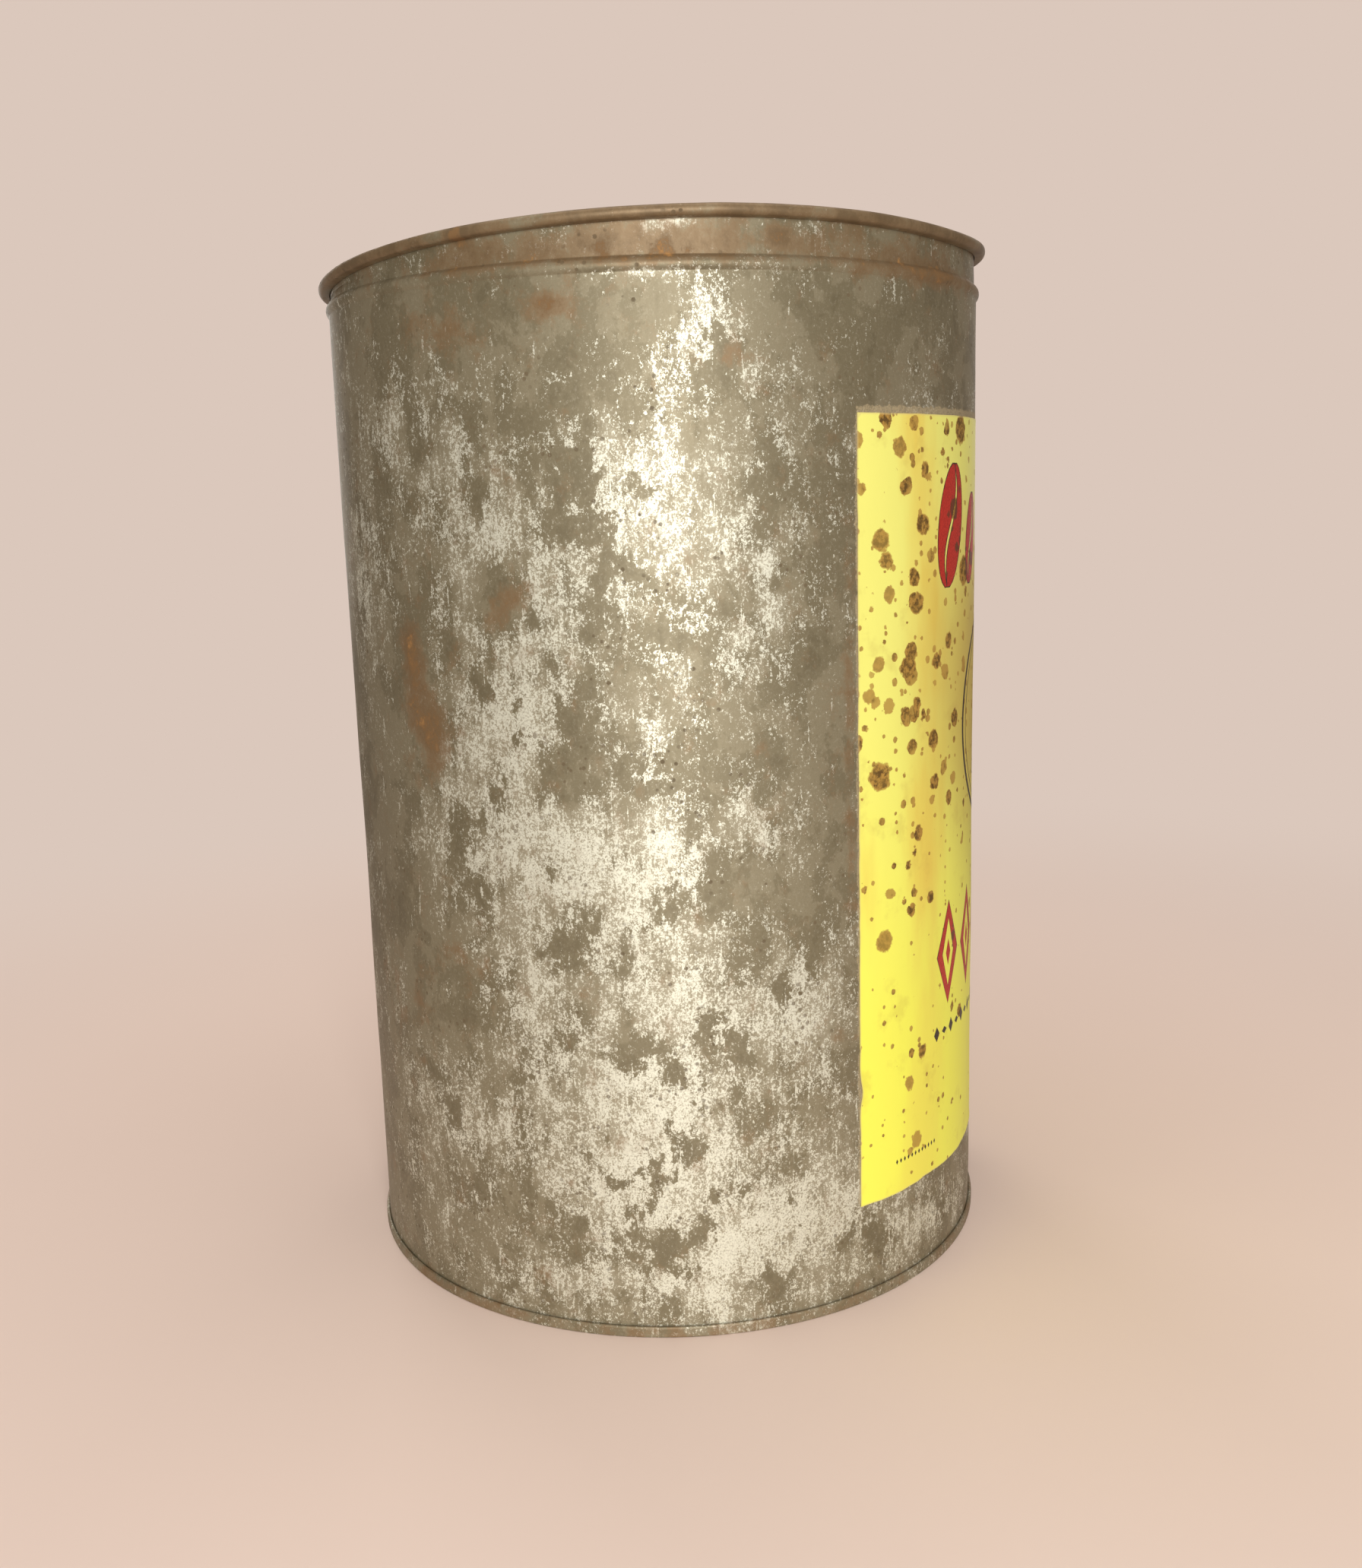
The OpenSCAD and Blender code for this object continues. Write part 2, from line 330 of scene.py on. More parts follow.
SHINE += back_spots(5, 26, 0.25, 0.65, 16, 34) + back_spots(6, 14, -0.6, -0.3, 10, 18)
RUST += back_spots(7, 16, 0.25, 0.6, 7, 14)


def rolled(z):
    """1 at the height of the roll, 0 below it."""
    return smooth((z - TOP + ROLL_H + 0.5 * MM) / (0.6 * MM))


@functools.lru_cache(None)
def shine_mark(turn, z):
    """How far the film is worn through to bright tin, with two thin bands of painted highlight. The
    roll keeps more of the film.
    """
    return sum(s[4] * spot(turn, z, s) for s in SHINE) - 0.25 * rolled(z)


def brown_mark(turn, z):
    """A brown stain on the neck, and a stronger one on the roll."""
    neck = 0.12 + 0.12 * ripple(turn, z, 20 * MM, 12)
    roll = 0.3 + 0.3 * ripple(turn, z, 9 * MM, 14)
    return neck * smooth((z - BEAD_TOP) / (2 * MM)) + roll * rolled(z)


@functools.lru_cache(None)
def rust_mark(turn, z):
    """Rust in spots, and along the rolled edges where water stands."""
    edges = 0.16 * math.exp(-((z - BEAD_TOP + 0.5 * MM) / (1.6 * MM)) ** 2)
    edges += 0.3 * math.exp(-(z / (3 * MM)) ** 2) + 0.04 * smooth((z - BEAD_TOP) / (2 * MM))
    return edges + sum(s[4] * spot(turn, z, s) for s in RUST)


# the marks that the body and the rim carry on their points, for their materials to read; the shine
# mark also holds two thin bands of painted highlight
WEAR_AND_HIGHLIGHT = {"shine": shine_mark, "rust": rust_mark, "brown": brown_mark}


# ---------------------------------------------------------------- materials
class Graph:
    """Builds a material's nodes. Each call adds a node and returns its output socket."""

    def __init__(self, name):
        self.material = bpy.data.materials.new(name)
        self.material.use_nodes = True
        self.tree = self.material.node_tree
        self.shader = self.tree.nodes["Principled BSDF"]

    def add(self, kind, links, output=0, **settings):
        node = self.tree.nodes.new(kind)
        for key, value in settings.items():
            setattr(node, key, value)
        for socket, value in links.items():
            if isinstance(value, bpy.types.NodeSocket):
                self.tree.links.new(value, node.inputs[socket])
            else:
                node.inputs[socket].default_value = value
        return node.outputs[output]

    def place(self):
        """Where a point of the piece is, in metres."""
        return self.add("ShaderNodeTexCoord", {}, "Object")

    def stretch(self, vector, scale, shift=(0, 0, 0)):
        return self.add("ShaderNodeMapping", {"Vector": vector, "Scale": scale, "Location": shift})

    def noise(self, vector, size, detail=4.0, rough=0.6, twist=0.0):
        """Noise from 0 to 1 whose bumps are about size across."""
        links = {"Vector": vector, "Scale": 1 / size, "Detail": detail, "Roughness": rough,
                 "Distortion": twist}
        return self.add("ShaderNodeTexNoise", links, "Fac")

    def cells(self, vector, size, output="Distance"):
        """Cells about size across: the distance to the nearest cell's middle, or its own colour."""
        return self.add("ShaderNodeTexVoronoi", {"Vector": vector, "Scale": 1 / size}, output)

    def mark(self, name):
        """A value that the piece's points carry."""
        return self.add("ShaderNodeAttribute", {}, "Fac", attribute_name=name)

    def sum(self, *terms):
        total = terms[0]
        for term in terms[1:]:
            total = self.add("ShaderNodeMath", {0: total, 1: term}, operation="ADD")
        return total

    def times(self, a, b):
        return self.add("ShaderNodeMath", {0: a, 1: b}, operation="MULTIPLY")

    def math(self, operation, *values):
        return self.add("ShaderNodeMath", dict(enumerate(values)), operation=operation)

    def centred(self, value, gain):
        """value less a half, times gain."""
        links = {0: value, 1: gain, 2: -gain / 2}
        return self.add("ShaderNodeMath", links, operation="MULTIPLY_ADD")

    def step(self, value, low, high, out_low=0.0, out_high=1.0):
        """A soft step from out_low to out_high while value goes from low to high."""
        links = {"Value": value, "From Min": low, "From Max": high, "To Min": out_low,
                 "To Max": out_high}
        return self.add("ShaderNodeMapRange", links, interpolation_type="SMOOTHSTEP")

    def mix(self, factor, a, b):
        """From colour a to colour b while factor goes from 0 to 1."""
        links = {0: factor, 6: a, 7: b}
        return self.add("ShaderNodeMix", links, 2, data_type="RGBA")

    def blend(self, factor, a, b):
        """From value a to value b while factor goes from 0 to 1."""
        return self.add("ShaderNodeMix", {0: factor, 2: a, 3: b}, 0, data_type="FLOAT")

    def bump(self, height, distance, strength=1.0):
        links = {"Height": height, "Distance": distance, "Strength": strength}
        return self.add("ShaderNodeBump", links)

    def finish(self, **inputs):
        """Sets the shader's inputs, and returns the material."""
        for name, value in inputs.items():
            socket = self.shader.inputs[name.replace("_", " ")]
            if isinstance(value, bpy.types.NodeSocket):
                self.tree.links.new(value, socket)
            else:
                socket.default_value = value
        return self.material


def colour(red, green, blue):
    """A colour as it looks on a screen, from 0 to 255, as the linear values that a shader takes."""
    def linear(c):
        c /= 255
        return c / 12.92 if c <= 0.04045 else ((c + 0.055) / 1.055) ** 2.4
    return linear(red), linear(green), linear(blue), 1.0


DARK_FILM = colour(100, 91, 68)
DULL_FILM = colour(120, 111, 87)
OLIVE_FILM = colour(134, 125, 101)
PALE_FILM = colour(170, 163, 142)
BRIGHT_TIN = colour(214, 213, 196)
DARK_STAIN = colour(88, 72, 48)
BROWN_STAIN = colour(131, 105, 74)
RUST_BROWN = colour(120, 88, 50)
RUST_ORANGE = colour(174, 127, 70)
OLD_PASTE = colour(164, 148, 116)


def turn_at(g, axes):
    """The turn of a point, in radians, from its X and Y."""
    return g.math("ARCTAN2", axes[0], g.times(axes[1], -1.0))


def label_residue(g, here):
    """A line of old paste along the head and the sides of the label, from 0 to 1."""
    axes = [g.add("ShaderNodeSeparateXYZ", {0: here}, k) for k in range(3)]
    half = math.radians(LABEL_HALF)
    beside = g.math("SUBTRACT", g.math("ABSOLUTE", turn_at(g, axes)), half)
    above = g.math("SUBTRACT", axes[2], LABEL_HIGH.z)
    ragged = g.centred(g.noise(here, 3 * MM, 5, 0.7), 3 * MM)
    top = g.step(g.sum(above, ragged), 1.5 * MM, 1.9 * MM, 1.0, 0.0)
    side = g.step(g.sum(g.times(beside, WALL_R), ragged), 0.2 * MM, 0.5 * MM, 1.0, 0.0)
    foot = g.step(axes[2], LABEL_LOW.z, LABEL_LOW.z + 2 * MM)
    return g.times(g.times(top, side), foot)


def tin_noises(g, here):
    """The noises that the wear of tinplate is made of, from the widest to the finest."""
    return {
        "haze": g.noise(g.stretch(here, (1, 1, 0.6), (2, 8, 1)), 40 * MM, 3, 0.5),
        "patch": g.noise(g.stretch(here, (1, 1, 0.8), (3, 1, 7)), 13 * MM, 7, 0.64, 0.2),
        "lace": g.noise(g.stretch(here, (1, 1, 0.75)), 7 * MM, 6, 0.74, 0.4),
        "streak": g.noise(g.stretch(here, (1, 1, 0.06), (2, 4, 1)), 2 * MM, 3, 0.6),
        "drip": g.noise(g.stretch(here, (1, 1, 0.11), (7, 1, 3)), 1.2 * MM, 2, 0.5),
        "speck": g.noise(g.stretch(here, (1, 1, 0.8)), 0.9 * MM, 4, 0.85),
        "grain": g.noise(here, 0.5 * MM, 3, 0.8),
    }


def worn_film(g, noises, wear):
    """The olive film and its pale and dark places, and how far it is bright: worn through to the
    tin, and painted highlight where the marks hold it.
    """
    patch, lace, speck, grain = (noises[name] for name in ("patch", "lace", "speck", "grain"))
    cover = g.sum(wear, g.centred(noises["haze"], 0.8), g.centred(noises["streak"], 0.6))
    island = g.step(g.sum(patch, g.centred(lace, 0.3)), 0.43, 0.4, 0.0, -0.4)
    worn = g.sum(cover, island, g.centred(lace, 2.1), g.centred(speck, 3.2), g.centred(grain, 1.6),
                 g.step(noises["drip"], 0.66, 0.74, 0.0, 0.5))
    bright = g.times(g.step(worn, 0.36, 0.54), g.step(grain, 0.38, 0.52, 0.35, 1.0))
    thin = g.step(g.sum(cover, island, g.centred(patch, 1.2), g.centred(lace, 1.4)), 0.12, 0.6)
    film = g.mix(g.step(patch, 0.47, 0.52), DULL_FILM, OLIVE_FILM)
    film = g.mix(g.times(thin, 0.65), film, PALE_FILM)
    dark = g.step(g.sum(g.centred(patch, -3.0), g.centred(lace, -1.2)), 0.3, 0.5, 0.0, 0.45)
    film = g.mix(dark, film, DARK_FILM)
    film = g.mix(g.step(speck, 0.5, 0.7, 0.0, 0.4), film, PALE_FILM)
    film = g.mix(g.step(grain, 0.5, 0.3, 0.0, 0.25), film, DARK_FILM)
    return film, bright


def rusty(g, here, grain, look, rust, brown):
    """The colour with brown stains, rust and pits over it, and how rusted and pitted it is."""
    rust_noise = g.noise(g.stretch(here, (1, 1, 0.8), (5, 5, 5)), 7 * MM, 6, 0.72)
    level = g.sum(rust, g.centred(rust_noise, 1.7), g.centred(grain, 0.4))
    stained = g.sum(level, brown)
    rusted = g.step(level, 0.48, 0.8)
    pick = g.noise(g.stretch(here, (1, 1, 1), (9, 2, 4)), 15 * MM, 3, 0.6)
    pits = g.times(g.step(g.cells(here, 2.6 * MM), 0.26, 0.16), g.step(pick, 0.5, 0.62))
    rust_shade = g.mix(g.step(rust_noise, 0.54, 0.74), RUST_BROWN, RUST_ORANGE)
    look = g.mix(g.step(stained, 0.08, 0.5, 0.0, 0.75), look, BROWN_STAIN)
    look = g.mix(g.step(stained, 0.38, 0.78, 0.0, 0.5), look, DARK_STAIN)
    look = g.mix(g.times(rusted, 0.8), look, rust_shade)
    look = g.mix(g.times(pits, 0.7), look, DARK_STAIN)
    return look, rusted, pits


def tinplate(name, shine=0.0, rust=0.0, marks=True, residue=False):
    """Old tinplate: a dull film, worn through in grains to bright tin, stained and rusting."""
    g = Graph(name)
    here = g.place()
    noises = tin_noises(g, here)
    patch, streak, grain = noises["patch"], noises["streak"], noises["grain"]
    brown = g.mark("brown") if marks else 0.0
    if marks:
        shine, rust = g.sum(g.mark("shine"), shine), g.sum(g.mark("rust"), rust)
    film, bright = worn_film(g, noises, shine)
    look = g.mix(bright, film, BRIGHT_TIN)
    look, rusted, pits = rusty(g, here, grain, look, rust, brown)
    dull = g.math("MAXIMUM", rusted, pits)
    if residue:
        paste = g.times(label_residue(g, here), g.step(grain, 0.35, 0.6, 0.25, 0.85))
        look = g.mix(paste, look, OLD_PASTE)
        dull = g.math("MAXIMUM", dull, paste)
    rough = g.blend(bright, 0.54, 0.5)
    rough = g.sum(rough, g.centred(streak, 0.14), g.centred(patch, 0.2))
    rough = g.blend(dull, rough, 0.8)
    metal = g.blend(dull, g.blend(bright, 0.4, 0.46), 0.08)
    height = g.sum(g.times(bright, -0.25), g.times(rusted, 0.5), g.times(pits, -0.8),
                   g.times(grain, 0.25), g.times(streak, 0.1))
    relief = g.bump(height, 0.05 * MM, 0.6)
    return g.finish(Base_Color=look, Roughness=rough, Metallic=metal, Normal=relief)


def solder():
    """A lumpy grey line of solder with brown stains."""
    g = Graph("solder")
    here = g.place()
    lumps = g.noise(g.stretch(here, (1, 1, 0.3)), 2 * MM, 4, 0.6)
    stain = g.step(g.noise(here, 9 * MM, 5, 0.7), 0.45, 0.65)
    look = g.mix(lumps, colour(120, 116, 104), colour(168, 164, 150))
    look = g.mix(g.times(stain, 0.6), look, BROWN_STAIN)
    relief = g.bump(lumps, 0.1 * MM, 0.8)
    return g.finish(Base_Color=look, Roughness=g.step(lumps, 0.3, 0.7, 0.55, 0.38), Metallic=0.8,
                    Normal=relief)


def compound():
    """Dark, crumbly rubber compound."""
    g = Graph("sealing_compound")
    crumbs = g.noise(g.place(), 0.8 * MM, 4, 0.65)
    look = g.mix(crumbs, colour(38, 32, 26), colour(62, 52, 42))
    return g.finish(Base_Color=look, Roughness=g.step(crumbs, 0.3, 0.7, 0.75, 0.9),
                    Normal=g.bump(crumbs, 0.1 * MM))


PAPER_CREAM = colour(228, 226, 120)
PAPER_LEMON = colour(232, 232, 88)
PAPER_GOLD = colour(220, 192, 86)
# the paper's colour under the painted shade in its middle
PAPER_PAINTED_SHADE = colour(188, 156, 74)
PAPER_EDGE = colour(204, 184, 130)
FOX_TAN = colour(168, 130, 62)
FOX_BROWN = colour(94, 70, 34)
FOX_ON_INK = colour(82, 52, 26)

# (turn, height in mm, radius in mm, strength) of the largest brown spots
BLOTS = [
    (seen(37), 212, 3.4, 0.8), (seen(38.3), 207, 2.8, 0.85), (seen(36.6), 150, 4.6, 0.9),
    (seen(43.5), 178, 3.8, 1.0), (seen(47.5), 216, 3.2, 1.0), (seen(45), 202, 2.7, 1.0),
    (seen(46), 195, 3.2, 0.9), (seen(41.3), 236, 3.1, 0.75), (seen(48), 230, 2.4, 0.9),
    (seen(58.5), 219.5, 3.4, 1.0), (seen(51), 157, 3.0, 1.0), (seen(51.5), 145, 2.8, 1.0),
    (seen(52), 178.5, 2.6, 1.0), (seen(56.5), 183.5, 2.5, 0.9), (seen(46), 168, 2.2, 1.0),
    (seen(36.5), 180, 2.6, 0.7), (seen(34.3), 172, 2.6, 0.65), (seen(38.8), 198, 2.6, 0.7),
    (seen(37.5), 104, 3.6, 0.75), (seen(46.3), 132, 2.6, 1.0), (seen(38.8), 117, 2.0, 0.6),
    (seen(57), 139, 2.5, 1.0), (seen(61.5), 241, 4.6, 0.95), (seen(64), 202, 4.8, 1.0),
    (seen(44), 60, 2.4, 0.7), (seen(48), 67.5, 2.2, 0.9), (seen(46), 42, 3.0, 0.6),
    (12, 120, 3.4, 0.9), (31, 226, 3.8, 0.8), (-7, 51, 3.0, 0.8), (40, 175, 4.2, 0.9),
]


def bent(g, here, size):
    """Places shifted by up to about a quarter of size, so that a round spot comes out ragged."""
    links = {"Vector": here, "Scale": 2 / size, "Detail": 4.0, "Roughness": 0.65}
    bend = g.add("ShaderNodeTexNoise", links, "Color")
    reach = 0.5 * size
    centred = g.add("ShaderNodeVectorMath", {0: bend, 1: (0.5,) * 3}, operation="SUBTRACT")
    shift = g.add("ShaderNodeVectorMath", {0: centred, 1: (reach,) * 3}, operation="MULTIPLY")
    return g.add("ShaderNodeVectorMath", {0: here, 1: shift}, operation="ADD")


def far_from(g, here, point):
    """The distance from a fixed point of the tin."""
    return g.add("ShaderNodeVectorMath", {0: here, 1: point}, "Value", operation="DISTANCE")


def blots(g, here):
    """The largest brown spots, each at its own place."""
    moved = bent(g, here, 7 * MM)
    total = 0.0
    for turn, z, size, strength in BLOTS:
        far = far_from(g, moved, place(turn, WALL_R, z * MM))
        total = g.math("MAXIMUM", total, g.step(far, size * MM, 0.7 * size * MM, 0.0, strength))
    return total


def fox_spots(g, here, size, share):
    """Spots of about this size, in the given share of the places that they could be in."""
    moved = bent(g, here, size)
    distance = g.cells(moved, 1.7 * size)
    chance = g.add("ShaderNodeSeparateColor", {0: g.cells(moved, 1.7 * size, "Color")}, 0)
    excess = g.math("SUBTRACT", share, chance)
    reach = g.times(g.step(excess, 0.0, 0.5, 0.2, 0.44), g.step(excess, 0.0, 0.01))
    return g.step(g.math("SUBTRACT", reach, distance), 0.0, 0.05)


def foxing(g, here):
    """How brown the paper is at a point, from 0 to 1: more in the upper half."""
    z = g.add("ShaderNodeSeparateXYZ", {0: here}, 2)
    upper = g.step(z, 90 * MM, 165 * MM, 0.32, 0.55)
    share = g.sum(upper, -0.12, g.centred(g.noise(here, 24 * MM, 2), 0.8))
    large = fox_spots(g, g.stretch(here, (1, 1, 1), (0.3, 0.1, 0.7)), 4.2 * MM, share)
    small = fox_spots(g, g.stretch(here, (1, 1, 1), (1.3, 2.1, 0.4)), 1.7 * MM, share)
    strength = g.step(g.noise(here, 12 * MM, 3, 0.7), 0.36, 0.6, 0.5, 1.0)
    random_spots = g.times(g.math("MAXIMUM", large, g.times(small, 0.8)), strength)
    return g.math("MAXIMUM", random_spots, blots(g, here))


BAND_TURN = -37               # the turn of the gold band down the label


def beside_band(g, here):
    """0 along the gold band, rising by 1 for each radian right."""
    axes = [g.add("ShaderNodeSeparateXYZ", {0: here}, k) for k in range(2)]
    return g.sum(turn_at(g, axes), -math.radians(BAND_TURN))


def paper_tone(g, here):
    """The paper's yellow: paler at the top, gold down one band, and darker in the middle as painted
    shade.
    """
    clouds = g.noise(g.stretch(here, (1, 1, 0.3)), 26 * MM, 4, 0.55)
    z = g.add("ShaderNodeSeparateXYZ", {0: here}, 2)
    look = g.mix(g.step(z, 60 * MM, 190 * MM), PAPER_LEMON, PAPER_CREAM)
    band = g.step(g.math("ABSOLUTE", beside_band(g, here)), 0.02, 0.2, 0.3, 0.0)
    gold = g.step(g.sum(band, g.centred(clouds, 1.4)), 0.05, 0.5)
    gold = g.times(gold, g.step(z, 60 * MM, 120 * MM, 0.35, 0.9))
    look = g.mix(gold, look, PAPER_GOLD)
    # painted shade: a soft dark patch round turn -10, 170 mm up, darkens the paper
    far = far_from(g, here, place(-10, WALL_R, 170 * MM))
    look = g.mix(g.step(far, 66 * MM, 16 * MM, 0.0, 0.7), look, PAPER_PAINTED_SHADE)
    halo = g.step(g.noise(here, 12 * MM, 4, 0.6), 0.55, 0.72)
    return g.mix(g.times(halo, 0.2), look, FOX_TAN)


def paper():
    """Old glossy yellow paper with brown spots and browned edges."""
    g = Graph("label_paper")
    here = g.place()
    fox = foxing(g, here)
    mottle = g.step(g.noise(here, 1.6 * MM, 4, 0.7), 0.4, 0.62)
    shade = g.mix(mottle, FOX_BROWN, FOX_TAN)
    look = g.mix(g.step(fox, 0.05, 0.5, 0.0, 0.85), paper_tone(g, here), FOX_TAN)
    look = g.mix(g.step(fox, 0.5, 1.0), look, shade)
    look = g.mix(g.step(g.mark("edge"), 0.6, 1.0, 0.0, 0.5), look, PAPER_EDGE)
    fibres = g.noise(here, 0.35 * MM, 3, 0.6)
    creases = g.noise(here, 5 * MM, 5, 0.6)
    height = g.sum(g.times(fibres, 0.25), creases, g.times(fox, -0.1))
    return g.finish(Base_Color=look, Roughness=g.step(fox, 0.0, 1.0, 0.42, 0.7),
                    Normal=g.bump(height, 0.12 * MM, 0.5), Specular_IOR_Level=0.2)


def ink(name, tone, deep):
    """Printing ink, worn in grains, with the paper's brown spots over it."""
    g = Graph(name)
    here = g.place()
    fox = foxing(g, here)
    grain = g.noise(here, 0.5 * MM, 4, 0.7)
    look = g.mix(g.step(grain, 0.35, 0.7), tone, deep)
    look = g.mix(g.step(fox, 0.2, 0.9, 0.0, 0.85), look, FOX_ON_INK)
    return g.finish(Base_Color=look, Roughness=g.step(grain, 0.3, 0.7, 0.38, 0.5),
                    Normal=g.bump(grain, 0.02 * MM, 0.4), Specular_IOR_Level=0.4)


# ---------------------------------------------------------------- the tin's sheets
WALL_C = WALL_R - PLATE / 2
LAYER = PLATE + SEAM_GAP
NECK_C = WALL_C - NECK_IN
RIM_TOP_C = TOP - PLATE / 2
ROLL_C = RIM_R - PLATE / 2
ROLL_FOOT_C = TOP - ROLL_H + PLATE / 2


def half_turn(span):
    """The bend radius at each corner of a sheet that turns back on itself over this span."""
    return span / 2 - 0.02 * MM


def body_section():
    """The middle line of the body's sheet, from its hook in the foot's seam to its flange."""
    foot = PLATE + COMPOUND + PLATE / 2
    hook = LAYER - 0.01 * MM
    flange = RIM_TOP_C - PLATE - COMPOUND
    flange_foot = ROLL_FOOT_C + PLATE + 2 * SEAM_GAP
    flange_edge = ROLL_C - PLATE - 2 * SEAM_GAP
    bead_z = BEAD_TOP - BEAD_H / 2
    turn = half_turn(flange - flange_foot)
    path = [
        (WALL_C + 2 * LAYER, SEAM_TOP - PLATE - 0.3 * MM),
        (WALL_C + 2 * LAYER, foot, hook),
        (WALL_C, foot, hook),
        (WALL_C, BEAD_TOP - BEAD_H, 0.4 * MM),
        (WALL_C + BEAD_OUT + 0.3 * MM, bead_z, 1.8 * MM),
        (NECK_C, BEAD_TOP, 0.5 * MM),
        (NECK_C, flange, 0.5 * MM),
        (flange_edge, flange, turn),
        (flange_edge, flange_foot, turn),
        (flange_edge - 1 * MM, flange_foot),
    ]
    return outline(divided(rounded(path), 3 * MM), PLATE)


def ring_section():
    """The middle line of the ring, from its roll over the flange to the curl under the mouth."""
    deck = TOP - DECK_DROP
    throat = THROAT_R + PLATE / 2
    foot = deck - THROAT_H
    roll = half_turn(ROLL_H - PLATE)
    curl = 1.9 * MM
    path = [
        (NECK_C + PLATE + 0.1 * MM, ROLL_FOOT_C - 0.2 * MM),
        (ROLL_C, ROLL_FOOT_C, roll),
        (ROLL_C, RIM_TOP_C, roll),
        (NECK_C - LAYER, RIM_TOP_C, 0.5 * MM),
        (NECK_C - LAYER, deck, 0.8 * MM),
        (throat, deck, 1.2 * MM),
        (throat, foot, half_turn(curl)),
        (throat + curl, foot, half_turn(curl)),
        (throat + curl, foot + 2.1 * MM),
    ]
    return outline(divided(rounded(path), 1.5 * MM), PLATE)


def tin_body():
    piece = spun("tin_body", body_section(), folded, WEAR_AND_HIGHLIGHT)
    piece.data.materials.append(tinplate("tinplate_body", residue=True))
    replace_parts(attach(piece, "tin"), "body_shell")


def seam_sealing(material):
    """The compound that squeezes flat between the flange and the roll, bent with them."""
    high = RIM_TOP_C - PLATE / 2
    low = high - COMPOUND
    inner, outer = NECK_C + 0.5 * MM, ROLL_C - half_turn(ROLL_H - PLATE)
    corners = ((inner, low), (outer, low), (outer, high), (inner, high))
    piece = spun("rim_sealing", [Vector(corner) for corner in corners], warped)
    piece.data.materials.append(material)
    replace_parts(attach(piece, "tin"), "top_seam_compound")


def rolled_rim():
    piece = spun("rolled_rim", ring_section(), warped, WEAR_AND_HIGHLIGHT)
    piece.data.materials.append(tinplate("tinplate_rim", shine=-0.05, rust=0.06))
    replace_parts(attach(piece, "tin"), "top_ring")


# ---------------------------------------------------------------- the label
LABEL_SIDE = math.radians(LABEL_HALF) * WALL_R     # half the label's width along the wall
LABEL_FOOT, LABEL_HEAD = LABEL_LOW.z, LABEL_HIGH.z


def on_label(across, z, lift=0.0):
    """The point of the label's face this far across from its middle, in metres along the wall."""
    turn = math.degrees(across / WALL_R)
    radius = WALL_R + wall_dent(turn, z) + PASTE + PAPER + lift
    return place(turn, radius, z)


def label_edge(t, seed, rough):
    """How far in the label's edge is worn at t metres along it."""
    wide = noise.noise(Vector((t / (17 * MM), seed, 0)))
    fine = noise.noise(Vector((t / (4 * MM), seed, 5)))
    return rough * max(0.0, 0.6 + wide + 0.5 * fine)


def label_point(u, v):
    """The place (across, height) of the label's grid point u, v, each from 0 to 1."""
    z = LABEL_FOOT + v * (LABEL_HEAD - LABEL_FOOT)
    left = label_edge(z, 1, 0.25 * MM) + 0.9 * MM * math.exp(-((z - 62 * MM) / (3 * MM)) ** 2)
    right = label_edge(z, 2, 0.4 * MM)
    across = -LABEL_SIDE + left + u * (2 * LABEL_SIDE - left - right)
    lifted = 1.2 * MM * smooth((across / LABEL_SIDE + 0.35) / 0.5)
    low = label_edge(across, 3, 0.5 * MM) + lifted
    high = label_edge(across, 4, 0.15 * MM)
    return across, LABEL_FOOT + low + v * (LABEL_HEAD - LABEL_FOOT - low - high)


def label_face(columns, rows):
    """The grid of the label's face, as rows of (point, distance to the nearest edge)."""
    wide, tall = 2 * LABEL_SIDE, LABEL_HEAD - LABEL_FOOT
    grid = []
    for j in range(rows + 1):
        line = []
        for i in range(columns + 1):
            across, z = label_point(i / columns, j / rows)
            rim = min(min(i, columns - i) / columns * wide, min(j, rows - j) / rows * tall)
            wave = 0.5 + ripple(0, z + across, 9 * MM, 2)
            curl = 0.12 * MM * math.exp(-rim / (1.2 * MM)) * wave
            line.append((on_label(across, z, max(0.0, curl)), rim))
        grid.append(line)
    return grid


def label_side(bm, face, depth):
    """The points of the label this deep under its face, which carry how near the edge they are."""
    edge = bm.verts.layers.float["edge"]
    grid = []
    for line in face:
        grid.append([])
        for point, rim in line:
            inward = Vector((point.x, point.y, 0)).normalized() * depth
            vertex = bm.verts.new(point - inward)
            vertex[edge] = math.exp(-rim / (0.8 * MM))
            grid[-1].append(vertex)
    return grid


def paper_label():
    columns, rows = 140, 160
    face = label_face(columns, rows)
    bm = bmesh.new()
    bm.verts.layers.float.new("edge")
    sides = [label_side(bm, face, depth) for depth in (0.0, PAPER)]
    for side, grid in enumerate(sides):
        for j in range(rows):
            for i in range(columns):
                quad = (grid[j][i], grid[j][i + 1], grid[j + 1][i + 1], grid[j + 1][i])
                bm.faces.new(quad if side == 0 else quad[::-1])
    ring = [(0, i) for i in range(columns)] + [(j, columns) for j in range(rows)]
    ring += [(rows, columns - i) for i in range(columns)] + [(rows - j, 0) for j in range(rows)]
    for (a, b), (c, d) in zip(ring, ring[1:] + ring[:1]):
        bm.faces.new((sides[0][a][b], sides[1][a][b], sides[1][c][d], sides[0][c][d]))
    piece = finished("label", bm)
    piece.data.materials.append(paper())
    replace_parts(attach(piece, "tin"), "paper_label")


INK_LIFT = 0.02 * MM          # how far the printing stands out from the paper
INK_CUT = 1.5 * MM            # the printing is cut this often, to bend round the tin


def cut_across(bm):
    """Cuts flat shapes by upright planes."""
    low = min(v.co.x for v in bm.verts)
    high = max(v.co.x for v in bm.verts)
    cut = math.ceil(low / INK_CUT) * INK_CUT
    while cut < high:
        parts = bm.verts[:] + bm.edges[:] + bm.faces[:]
        bmesh.ops.bisect_plane(bm, geom=parts, plane_co=(cut, 0, 0), plane_no=(1, 0, 0), dist=1e-7)
        cut += INK_CUT


